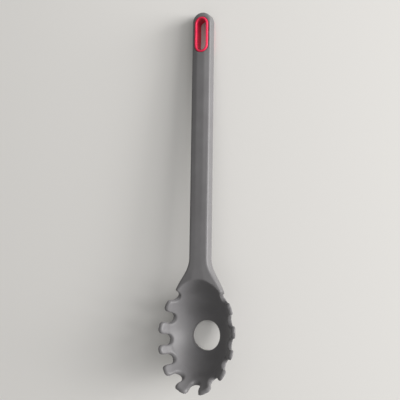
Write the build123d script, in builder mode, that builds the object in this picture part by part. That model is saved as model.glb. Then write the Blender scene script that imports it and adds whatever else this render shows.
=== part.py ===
from build123d import *
import os
from math import atan2, cos, degrees, radians, sin, sqrt, tan

os.makedirs("parts", exist_ok=True)

# Overall
handle_top = 317.4  # above the level of the lowest tine tips

# Handle: eight-sided at the eye, with bevels that fade out at the neck
handle_width = 16.9
handle_thickness = 11.5
facet_width = 6.4  # flat down the middle of the front and of the back
bevel_depth = 1.5  # how far the bevels fall back at the top of the handle
neck_bevel_depth = 0.3  # what is left of them at the neck
handle_corner_radius = 1.8

# Neck: the handle's sides swing out to the bowl's shoulders
shoulder_half_width = 22.9
shoulder_height = 81.2
flare_angle = 32.0  # degrees from upright
flare_radius = 24.0
shoulder_set_back = 2.0  # front edge of the shoulder behind the handle's front
shoulder_thickness = 4.4
neck_back_depth = 13.0  # middle of the neck's back at the shoulders
neck_sections = 6

# Bowl: a wall between two egg-shaped surfaces with one centre
hollow_half_width = 40.8
hollow_half_depth = 73.0
hollow_half_height = 57.3
bowl_centre_front = 48.8  # in front of the handle's front
bowl_centre_height = 50.5
rim_wall = 2.3  # thickness of the tines
floor_wall = 5.0  # thickness round the drain hole
mouth_angle = 68.0  # degrees from the back, where the bowl's surfaces start in front of its rim
pole_angle = 5.0  # degrees from the back, where they end inside the drain hole
bowl_sections = 10
rim_tilt = 8.5  # degrees that the rim leans forward at its foot
rim_reach = 9.4  # rim in front of the handle's front, at the height of the tine tips
drain_diameter = 25.4
drain_height = 44.4

# Tines: a fan of notches cut square to the rim's plane, out through the wall
hub_height = 40.0  # the notches are spaced round this point of the rim's plane
notch_pitch = 31.4  # degrees
notch_width = 9.2
foot_notch_reach = 10.6  # rim to the notch's foot, at the three lowest notches
side_notch_reach = 11.6
shoulder_notch_reach = 6.0
shoulder_notch_angle = 150.5
tip_radius = 3.6

# Hanging eye: an upright slot with round ends and a lining that stands proud
eye_throat_width = 7.8
eye_height = 30.0  # over the liner's rim
eye_drop = 1.7  # centre of the eye's top end below that of the handle's
liner_band = 2.1
liner_proud = 0.5

# Core
skin_cover = 0.8

cut_overrun = 10.0

handle_half = handle_width / 2
facet_half = facet_width / 2
liner_width = eye_throat_width + 2 * liner_band
end_height = handle_top - handle_half  # centre of the handle's round end
bowl_centre = Vector(0, -bowl_centre_front, bowl_centre_height)
rim_plane = Plane(
    origin=(0, -rim_reach, 0),
    x_dir=(1, 0, 0),
    z_dir=(0, cos(radians(rim_tilt)), -sin(radians(rim_tilt))),
)


def flare_top():
    """Height at which the handle's sides start to swing out."""
    meeting = shoulder_height + (shoulder_half_width - handle_half) / tan(radians(flare_angle))
    return meeting + flare_radius * tan(radians(flare_angle) / 2)


def half_width(height):
    """Half the width of the handle or the neck at a height."""
    drop = flare_top() - height
    if drop <= 0:
        return handle_half
    if drop < flare_radius * sin(radians(flare_angle)):
        return handle_half + flare_radius - sqrt(flare_radius**2 - drop**2)
    return shoulder_half_width - (height - shoulder_height) * tan(radians(flare_angle))


def fade(height):
    """0 at the top of the flare, 1 at the shoulders."""
    return max(0, (flare_top() - height) / (flare_top() - shoulder_height))


def neck_section(height, inset):
    """Cross-section of the handle or the neck, drawn in by inset all round."""
    rise = max(0, (height - flare_top()) / (end_height - flare_top()))
    share = fade(height)
    half = half_width(height)
    bevel = neck_bevel_depth + (bevel_depth - neck_bevel_depth) * rise
    set_back = bevel + (shoulder_set_back - neck_bevel_depth) * share**2
    back = handle_thickness + (neck_back_depth - handle_thickness) * share
    side = handle_thickness - bevel
    side += (shoulder_set_back + shoulder_thickness - side) * share**2
    flat = facet_half * half / handle_half
    right = [
        (flat, inset),
        (half - inset, set_back + inset),
        (half - inset, side - inset),
        (flat, back - inset),
    ]
    left = [(-x, y) for x, y in reversed(right)]
    with BuildSketch(Plane.XY.offset(height)) as section:
        with BuildLine():
            Polyline(*right, *left, close=True)
        make_face()
        corners = section.vertices().group_by(Axis.X)
        fillet(corners[0] + corners[-1], handle_corner_radius - inset)
    return section.sketch


def round_end(section):
    """The handle's round top, turned from half of its cross-section there."""
    with BuildPart() as end:
        with BuildSketch(Plane.XY.offset(end_height)):
            add(section)
            split(bisect_by=Plane.YZ, keep=Keep.TOP)
        revolve(axis=Axis((0, 0, end_height), (0, -1, 0)), revolution_arc=180)
    return end.part


def neck_root(inset):
    """The neck's flat middle, run on down behind the rim to the height of the bowl's centre."""
    flat = facet_half * shoulder_half_width / handle_half
    with BuildPart() as root:
        with BuildSketch(Plane.XY.offset(shoulder_height)):
            with Locations((0, inset)):
                Rectangle(2 * flat, neck_back_depth - 2 * inset, align=(Align.CENTER, Align.MIN))
        extrude(amount=bowl_centre_height - shoulder_height)
    return root.part


def handle_form(inset):
    """The handle from the neck up to its round end, drawn in by inset all round."""
    ends = [neck_section(end_height, inset), neck_section(flare_top(), inset)]
    with BuildPart() as handle:
        loft([end.face() for end in ends], ruled=True)
        add(round_end(ends[0]))
    return handle.part


def liner_form():
    """The top of the handle grown by what the liner stands proud, with straight facets."""
    section = neck_section(end_height, -liner_proud)
    with BuildPart() as form:
        with BuildSketch(Plane.XY.offset(end_height)):
            add(section)
        extrude(amount=-eye_height)
        add(round_end(section))
    return form.part


def eye_prism(width, height):
    """Slot with round ends right through the handle."""
    with BuildPart() as prism:
        with BuildSketch(Plane.XZ.offset(-handle_thickness - cut_overrun)):
            with Locations((0, end_height - eye_drop + width / 2 - height / 2)):
                SlotOverall(height, width, rotation=90)
        extrude(amount=handle_thickness + 2 * cut_overrun)
    return prism.part


def egg(side_growth, floor_growth):
    """Solid bounded by the hollow's surface, moved out at the sides and at the floor."""
    step = (mouth_angle - pole_angle) / (bowl_sections - 1)
    with BuildPart() as solid:
        for section in range(bowl_sections):
            angle = radians(mouth_angle - step * section)
            depth = (hollow_half_depth + floor_growth) * cos(angle) - bowl_centre_front
            half_height = (hollow_half_height + side_growth) * sin(angle)
            half_across = (hollow_half_width + side_growth) * sin(angle)
            with BuildSketch(Plane.XZ.offset(-depth)):
                with Locations((0, bowl_centre_height)):
                    Ellipse(half_height, half_across, rotation=90)
        loft()
    return solid.part


def rim_point(angle):
    """Point of the hollow's edge at an angle round the hub, and the way out of the bowl there."""
    half_axes = (hollow_half_width, hollow_half_depth, hollow_half_height)
    up = Vector(0, tan(radians(rim_tilt)), 1)
    hub = rim_plane.origin + up * hub_height
    spoke = Vector(sin(radians(angle)), 0, 0) - up.normalized() * cos(radians(angle))
    start = Vector(*(p / axis for p, axis in zip(hub - bowl_centre, half_axes)))
    step = Vector(*(d / axis for d, axis in zip(spoke, half_axes)))
    along = step.dot(start)
    square = step.dot(step)
    reach = (sqrt(along**2 - square * (start.dot(start) - 1)) - along) / square
    point = hub + spoke * reach
    normal = Vector(*(p / axis**2 for p, axis in zip(point - bowl_centre, half_axes)))
    outward = normal - rim_plane.z_dir * normal.dot(rim_plane.z_dir)
    return point, outward.normalized()


def notch(angle, reach, tine_sides, inset):
    """Prism that cuts one round-footed notch and rounds the tines' corners beside it."""
    point, outward = rim_point(angle)
    half = notch_width / 2 + inset
    deep = reach > notch_width / 2 + tip_radius
    with BuildPart() as prism:
        with BuildSketch(Plane(origin=point, x_dir=-rim_plane.z_dir, z_dir=outward)) as outline:
            with Locations((notch_width / 2 - reach, 0)):
                Circle(half)
            for side in (-1, 1):
                toward = Align.MIN if side > 0 else Align.MAX
                if deep or side not in tine_sides:
                    with Locations((notch_width / 2 - reach, 0)):
                        Rectangle(reach + cut_overrun, half, align=(Align.MIN, toward))
                if side in tine_sides:
                    with Locations((-inset, 0)):
                        Rectangle(cut_overrun, half + 2 * tip_radius, align=(Align.MIN, toward))
                    corner = outline.vertices().sort_by_distance((-inset, side * half))[0]
                    fillet(corner, tip_radius - inset)
        extrude(amount=cut_overrun, both=True)
    return prism.part


def cut_notches(inset):
    """All the notches: angle round the hub, reach, and the sides that a tine lies on."""
    table = [(0, foot_notch_reach, (-1, 1))]
    for side in (-1, 1):
        table.append((side * notch_pitch, foot_notch_reach, (-1, 1)))
        table += [(side * notch_pitch * step, side_notch_reach, (-1, 1)) for step in (2, 3, 4)]
        table.append((side * shoulder_notch_angle, shoulder_notch_reach, (side,)))
    return [notch(angle, reach, sides, inset) for angle, reach, sides in table]


def server_form(inset):
    """The whole server as one solid, drawn in by inset all round."""
    drop = (flare_top() - shoulder_height) / (neck_sections - 1)
    steps = [neck_section(flare_top() - drop * step, inset) for step in range(neck_sections)]
    with BuildPart() as bowl:
        add(egg(rim_wall - inset, floor_wall - inset))
        split(bisect_by=rim_plane.offset(inset), keep=Keep.TOP)
    with BuildPart() as form:
        add(handle_form(inset))
        loft([step.face() for step in steps])
        add(neck_root(inset))
        add(bowl.part)
        add(egg(inset, inset), mode=Mode.SUBTRACT)
        add(cut_notches(inset), mode=Mode.SUBTRACT)
        with BuildSketch(Plane.XZ.offset(-hollow_half_depth)):
            with Locations((0, drain_height)):
                Circle(drain_diameter / 2 + inset)
        extrude(amount=hollow_half_depth, mode=Mode.SUBTRACT)
    return form.part


def resting_tilt():
    """Degrees that the handle's back leans to the surface on which the server lies."""
    drain_top = drain_height + drain_diameter / 2
    rise = (drain_top - bowl_centre_height) / (hollow_half_height + rim_wall)
    bowl_back = (hollow_half_depth + floor_wall) * sqrt(1 - rise**2) - bowl_centre_front
    liner_back = handle_thickness + liner_proud
    return degrees(atan2(bowl_back - liner_back, end_height + facet_half - drain_top))


whole_form = server_form(0)
core_form = server_form(skin_cover)
liner_blank = liner_form()
liner_seat = eye_prism(liner_width, eye_height)
throat = eye_prism(eye_throat_width, eye_height - 2 * liner_band)

# Stiff core: nylon, from a ring round the eye to the inside of every tine
with BuildPart() as stiff_core:
    add(core_form)
    add(liner_seat, mode=Mode.SUBTRACT)

# Silicone skin: moulded over the whole core, all round every tine
with BuildPart() as silicone_skin:
    add(whole_form)
    add(liner_seat, mode=Mode.SUBTRACT)
    add(stiff_core.part, mode=Mode.SUBTRACT)

# Hanging eye liner: a slotted tube whose rims follow the handle's facets
with BuildPart() as hanging_eye_liner:
    add(liner_blank)
    add(liner_seat, mode=Mode.INTERSECT)
    add(throat, mode=Mode.SUBTRACT)

# The server lies on its back, on the liner's rim and on the top of the drain hole's edge
lay_down = Location((0, 0, 0), (-90 - resting_tilt(), 0, 0))
pieces = [stiff_core.part, silicone_skin.part, hanging_eye_liner.part]
extent = Compound([piece.moved(lay_down) for piece in pieces]).bounding_box()

# The origin is under the middle of the whole server
to_origin = Location((0, -extent.center().Y, -extent.min.Z)) * lay_down
for piece in pieces:
    piece.move(to_origin)
print("laid down", lay_down.orientation, "and moved", to_origin.position)

stiff_core.part.label = "stiff_core"
silicone_skin.part.label = "silicone_skin"
hanging_eye_liner.part.label = "hanging_eye_liner"
export_step(stiff_core.part, "parts/stiff_core.step")
export_step(silicone_skin.part, "parts/silicone_skin.step")
export_step(hanging_eye_liner.part, "parts/hanging_eye_liner.step")
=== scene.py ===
from math import cos, pi, radians, sin

import bmesh
import bpy
from mathutils import Matrix, Vector


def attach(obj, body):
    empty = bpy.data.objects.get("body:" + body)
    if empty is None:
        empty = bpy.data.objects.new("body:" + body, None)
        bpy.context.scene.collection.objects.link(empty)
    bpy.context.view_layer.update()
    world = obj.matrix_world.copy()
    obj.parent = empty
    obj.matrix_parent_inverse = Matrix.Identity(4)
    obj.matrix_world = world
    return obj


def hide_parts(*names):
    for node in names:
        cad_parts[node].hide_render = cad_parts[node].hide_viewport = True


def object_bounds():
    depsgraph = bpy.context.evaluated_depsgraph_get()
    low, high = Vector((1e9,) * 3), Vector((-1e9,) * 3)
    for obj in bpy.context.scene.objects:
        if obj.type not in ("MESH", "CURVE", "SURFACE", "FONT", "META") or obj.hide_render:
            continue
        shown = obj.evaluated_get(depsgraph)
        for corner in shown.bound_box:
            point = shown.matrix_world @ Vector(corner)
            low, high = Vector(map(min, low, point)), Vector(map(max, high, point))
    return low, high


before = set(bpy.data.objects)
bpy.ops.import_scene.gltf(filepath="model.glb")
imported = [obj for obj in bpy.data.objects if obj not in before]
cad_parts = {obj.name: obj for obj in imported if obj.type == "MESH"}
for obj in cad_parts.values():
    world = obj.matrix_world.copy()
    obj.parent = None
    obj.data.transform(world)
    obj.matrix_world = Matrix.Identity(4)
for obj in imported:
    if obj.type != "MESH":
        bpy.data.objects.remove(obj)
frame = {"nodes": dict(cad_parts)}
cadLow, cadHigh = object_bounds()
nodes = frame["nodes"]
print("frame loaded:", ", ".join(nodes))


# a material with its shader's constants set, its node tree and its shader
def newMaterial(name, shader):
    material = bpy.data.materials.new(name)
    material.use_nodes = True
    bsdf = material.node_tree.nodes["Principled BSDF"]
    for socket, value in shader.items():
        bsdf.inputs[socket].default_value = value
    return material, material.node_tree, bsdf


# a node with its inputs set by name
def addNode(tree, kind, **values):
    node = tree.nodes.new(kind)
    for key, value in values.items():
        node.inputs[key].default_value = value
    return node


# tints the shader between two colours by a noise in object coordinates
def addTint(tree, bsdf, place, noise, low, high):
    flow = addNode(tree, "ShaderNodeTexNoise", **noise)
    tree.links.new(place.outputs["Object"], flow.inputs["Vector"])
    tint = addNode(tree, "ShaderNodeValToRGB")
    for element, (position, colour) in zip(tint.color_ramp.elements, (low, high)):
        element.position = position
        element.color = colour
    tree.links.new(flow.outputs["Fac"], tint.inputs["Fac"])
    tree.links.new(tint.outputs["Color"], bsdf.inputs["Base Color"])
    return flow


# fine relief in object coordinates
def addRelief(tree, bsdf, place, noise, relief):
    grain = addNode(tree, "ShaderNodeTexNoise", **noise)
    tree.links.new(place.outputs["Object"], grain.inputs["Vector"])
    bump = addNode(tree, "ShaderNodeBump", **relief)
    tree.links.new(grain.outputs["Fac"], bump.inputs["Height"])
    tree.links.new(bump.outputs["Normal"], bsdf.inputs["Normal"])


mergeDistance = 1e-6
smoothFactor = 0.5


# one CAD node or several as a single new mesh with its doubles merged
def copyMerged(name, *nodeNames):
    bm = bmesh.new()
    for nodeName in nodeNames:
        bm.from_mesh(nodes[nodeName].data)
    bmesh.ops.remove_doubles(bm, verts=bm.verts, dist=mergeDistance)
    mesh = bpy.data.meshes.new(name)
    bm.to_mesh(mesh)
    bm.free()
    piece = bpy.data.objects.new(name, mesh)
    bpy.context.scene.collection.objects.link(piece)
    return piece


# remeshes a closed piece on a fine grid
def remeshFine(piece, voxel):
    remesh = piece.modifiers.new("remesh", "REMESH")
    remesh.mode = "VOXEL"
    remesh.voxel_size = voxel
    remesh.use_smooth_shade = True
    depsgraph = bpy.context.evaluated_depsgraph_get()
    fineMesh = bpy.data.meshes.new_from_object(piece.evaluated_get(depsgraph))
    piece.modifiers.clear()
    piece.data = fineMesh
    fineMesh.name = piece.name


# rounds the edges of an open bmesh, a pass at a time
def smoothVerts(bm, verts, passes):
    for _ in range(passes):
        bmesh.ops.smooth_vert(
            bm, verts=verts, factor=smoothFactor,
            use_axis_x=True, use_axis_y=True, use_axis_z=True,
        )


# writes a smoothed bmesh back to its piece
def closeMesh(bm, piece):
    bmesh.ops.recalc_face_normals(bm, faces=bm.faces)
    bm.to_mesh(piece.data)
    bm.free()
    piece.data.shade_smooth()


skinLook = {
    "shader": {
        "Roughness": 0.46,
        "IOR": 1.41,
        "Specular IOR Level": 0.42,
        "Sheen Weight": 0.12,
        "Sheen Roughness": 0.45,
    },
    "mottle": {"Scale": 60.0, "Detail": 5.0, "Roughness": 0.6},
    "dark": (0.35, (0.121, 0.118, 0.121, 1.0)),  # place on the ramp, colour
    "light": (0.68, (0.136, 0.133, 0.137, 1.0)),
    "satin": {"From Min": 0.3, "From Max": 0.7, "To Min": 0.43, "To Max": 0.50},
    "grain": {"Scale": 1500.0, "Detail": 2.0, "Roughness": 0.55},
    "relief": {"Strength": 0.35, "Distance": 0.00006},
    "voxel": 0.00059,
    "handlePasses": 2,
    "bowlPasses": 3,  # more passes, from the shoulders down
    "bowlLimit": -0.078,
    "drain": (0.0, -0.1159, 0.0055),  # its edge stays as it is
    "drainReach": 0.0165,
    "tinePasses": 3,  # more still, on the tines
    "tineLimit": 0.024,
    "tineSwell": 0.00028,  # makes up for what the smoothing takes off them
    "ledgePasses": 16,  # under the shoulders' corners
    "ledgeReach": 0.0055,
    "ledges": ((0.0225, -0.0795, 0.0265), (-0.0225, -0.0795, 0.0265)),
}


def siliconeMaterial(look):
    material, tree, bsdf = newMaterial("greySilicone", look["shader"])
    place = addNode(tree, "ShaderNodeTexCoord")
    mottle = addTint(tree, bsdf, place, look["mottle"], look["dark"], look["light"])
    # the satin finish is a little uneven
    satin = addNode(tree, "ShaderNodeMapRange", **look["satin"])
    tree.links.new(mottle.outputs["Fac"], satin.inputs["Value"])
    tree.links.new(satin.outputs["Result"], bsdf.inputs["Roughness"])
    addRelief(tree, bsdf, place, look["grain"], look["relief"])
    return material


def makeSkin(look):
    skin = copyMerged("siliconeSkin", "silicone_skin", "stiff_core")
    remeshFine(skin, look["voxel"])
    bm = bmesh.new()
    bm.from_mesh(skin.data)
    bm.normal_update()
    drain = Vector(look["drain"])
    bowl = [
        vert for vert in bm.verts
        if vert.co.y < look["bowlLimit"] and (vert.co - drain).length > look["drainReach"]
    ]
    tines = [vert for vert in bowl if vert.co.z > look["tineLimit"]]
    ledges = [
        vert for vert in bm.verts
        if min((vert.co - Vector(ledge)).length for ledge in look["ledges"]) < look["ledgeReach"]
    ]
    for vert in tines:
        vert.co += look["tineSwell"] * vert.normal
    smoothVerts(bm, bm.verts, look["handlePasses"])
    smoothVerts(bm, bowl, look["bowlPasses"])
    smoothVerts(bm, tines, look["tinePasses"])
    smoothVerts(bm, ledges, look["ledgePasses"])
    closeMesh(bm, skin)
    skin.data.materials.append(siliconeMaterial(look))
    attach(skin, "root")
    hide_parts("silicone_skin")
    print("silicone skin:", len(skin.data.polygons), "faces")
    return skin


linerLook = {
    "shader": {"Roughness": 0.36, "IOR": 1.45, "Specular IOR Level": 0.35},
    "flow": {"Scale": 90.0, "Detail": 4.0, "Roughness": 0.5},
    "deep": (0.3, (0.53, 0.014, 0.054, 1.0)),  # place on the ramp, colour
    "bright": (0.7, (0.60, 0.020, 0.066, 1.0)),
    "ripple": {"Scale": 700.0, "Detail": 2.0},
    "relief": {"Strength": 0.12, "Distance": 0.00003},
    "voxel": 0.00025,
    "passes": 18,
    "eye": (0.0, 0.13865, 0.00715),  # the slot's middle
    "along": (0.0, 0.9979, -0.0654),  # the handle's direction
    "straight": 0.0090,  # half the slot's straight part
    "throat": 0.0039,  # half widths of the slot and of the liner
    "outside": 0.0060,
    "thinner": 0.00038,  # how far the throat's wall is drawn out
}


# makes the liner's band thinner from inside, as it looks in the photo
def thinBand(bm, look):
    eye, along = Vector(look["eye"]), Vector(look["along"])
    for vert in bm.verts:
        reach = (vert.co - eye).dot(along)
        onLine = max(-look["straight"], min(look["straight"], reach))
        out = Vector((vert.co.x, 0.0, 0.0)) + (reach - onLine) * along
        share = (look["outside"] - out.length) / (look["outside"] - look["throat"])
        vert.co += look["thinner"] * max(0.0, min(1.0, share)) * out.normalized()


def linerMaterial(look):
    material, tree, bsdf = newMaterial("crimsonGloss", look["shader"])
    place = addNode(tree, "ShaderNodeTexCoord")
    addTint(tree, bsdf, place, look["flow"], look["deep"], look["bright"])
    addRelief(tree, bsdf, place, look["ripple"], look["relief"])
    return material


def makeLiner(look):
    liner = copyMerged("eyeLiner", "hanging_eye_liner")
    remeshFine(liner, look["voxel"])
    bm = bmesh.new()
    bm.from_mesh(liner.data)
    thinBand(bm, look)
    smoothVerts(bm, bm.verts, look["passes"])
    closeMesh(bm, liner)
    liner.data.materials.append(linerMaterial(look))
    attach(liner, "root")
    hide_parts("hanging_eye_liner")
    print("eye liner:", len(liner.data.polygons), "faces")
    return liner


coreLook = {
    "shader": {"Roughness": 0.55, "IOR": 1.53},
    "fibre": {"Scale": 1500.0, "Detail": 3.0},
    "dark": (0.0, (0.024, 0.024, 0.0256, 1.0)),  # place on the ramp, colour
    "light": (1.0, (0.039, 0.039, 0.0416, 1.0)),
}


# the core is moulded in and out of sight, but keeps a nylon finish
def dressCore(look):
    material, tree, bsdf = newMaterial("coreNylon", look["shader"])
    place = addNode(tree, "ShaderNodeTexCoord")
    addTint(tree, bsdf, place, look["fibre"], look["dark"], look["light"])
    core = nodes["stiff_core"]
    core.data.materials.clear()
    core.data.materials.append(material)


stageLook = {
    "size": 14.0,
    "floor": (0.70, 0.69, 0.67, 1.0),
    "floorRoughness": 0.9,
    "world": (0.86, 0.85, 0.83, 1.0),
    "worldStrength": 0.44,
    "backgroundStrength": 1.0,
}


def makeStage(look):
    bm = bmesh.new()
    bmesh.ops.create_grid(bm, x_segments=1, y_segments=1, size=look["size"] / 2)
    mesh = bpy.data.meshes.new("floor")
    bm.to_mesh(mesh)
    bm.free()
    floor = bpy.data.objects.new("floor", mesh)
    floor.location.z = cadLow[2]
    bpy.context.scene.collection.objects.link(floor)
    shader = {"Roughness": look["floorRoughness"], "Base Color": look["floor"]}
    mesh.materials.append(newMaterial("paleFloor", shader)[0])

    world = bpy.data.worlds.new("studio")
    bpy.context.scene.world = world
    world.use_nodes = True
    tree = world.node_tree
    background = tree.nodes["Background"]
    background.inputs["Color"].default_value = look["world"]
    background.inputs["Strength"].default_value = look["worldStrength"]
    seen = addNode(tree, "ShaderNodeBackground")
    seen.inputs["Color"].default_value = look["world"]
    seen.inputs["Strength"].default_value = look["backgroundStrength"]
    path = addNode(tree, "ShaderNodeLightPath")
    mix = addNode(tree, "ShaderNodeMixShader")
    tree.links.new(path.outputs["Is Camera Ray"], mix.inputs["Fac"])
    tree.links.new(background.outputs["Background"], mix.inputs[1])
    tree.links.new(seen.outputs["Background"], mix.inputs[2])
    tree.links.new(mix.outputs["Shader"], tree.nodes["World Output"].inputs["Surface"])


lampAim = (0.0, 0.0, 0.02)
# a tall window on the right, in three parts
lampLook = {
    # name: place, size, power, colour
    "windowLow": ((2.30, 0.24, 0.30), 1.20, 87.0, (1.0, 0.99, 0.98)),
    "windowMiddle": ((2.20, 0.34, 1.00), 1.20, 45.0, (1.0, 0.99, 0.98)),
    "windowTop": ((1.60, 0.20, 1.90), 1.20, 9.0, (0.97, 0.98, 1.0)),
}


def makeLamps(lamps):
    aim = Vector(lampAim)
    for name, (place, size, power, colour) in lamps.items():
        lamp = bpy.data.lights.new(name, "AREA")
        lamp.shape = "DISK"
        lamp.size = size
        lamp.energy = power
        lamp.color = colour
        holder = bpy.data.objects.new(name, lamp)
        holder.location = place
        holder.rotation_euler = (aim - Vector(place)).to_track_quat("-Z", "Y").to_euler()
        bpy.context.scene.collection.objects.link(holder)


# the photo's view, as seen by a server that stands upright: low, from its front right
cameraView = {
    "azimuth": 22.37,
    "elevation": -2.50,
    "roll": 0.79,
    "distance": 0.6202,
    "height": 0.1589,
    "sideways": 0.0012,
    "focalPixels": 746.0,
    "imagePixels": 400.0,
    "sensor": 36.0,
    "clipStart": 0.01,
    "restTilt": 3.7508,  # degrees that the handle's back leans to the floor
    "backToOrigin": (0.0, -0.158581, 0.032394),  # from the foot of the handle's front
}


def makeCamera(view):
    azimuth, elevation = radians(view["azimuth"]), radians(view["elevation"])
    back = Vector((sin(azimuth) * cos(elevation), -cos(azimuth) * cos(elevation), sin(elevation)))
    right = Vector((cos(azimuth), sin(azimuth), 0.0))
    up = back.cross(right)
    turn = Matrix((right, up, back)).transposed() @ Matrix.Rotation(radians(view["roll"]), 3, "Z")
    place = Vector((0.0, 0.0, view["height"])) + view["distance"] * back + view["sideways"] * right
    layDown = Matrix.Rotation(-pi / 2 - radians(view["restTilt"]), 4, "X")
    camera = bpy.data.cameras.new("camera")
    camera.sensor_width = view["sensor"]
    camera.lens = view["sensor"] * view["focalPixels"] / view["imagePixels"]
    camera.clip_start = view["clipStart"]
    holder = bpy.data.objects.new("camera", camera)
    upright = Matrix.Translation(place) @ turn.to_4x4()
    holder.matrix_world = Matrix.Translation(view["backToOrigin"]) @ layDown @ upright
    bpy.context.scene.collection.objects.link(holder)
    bpy.context.scene.camera = holder


makeCamera(cameraView)
makeStage(stageLook)
makeLamps(lampLook)
print("stage, lamps and camera ready")
makeSkin(skinLook)
makeLiner(linerLook)
dressCore(coreLook)
bpy.context.scene.view_settings.view_transform = "Standard"
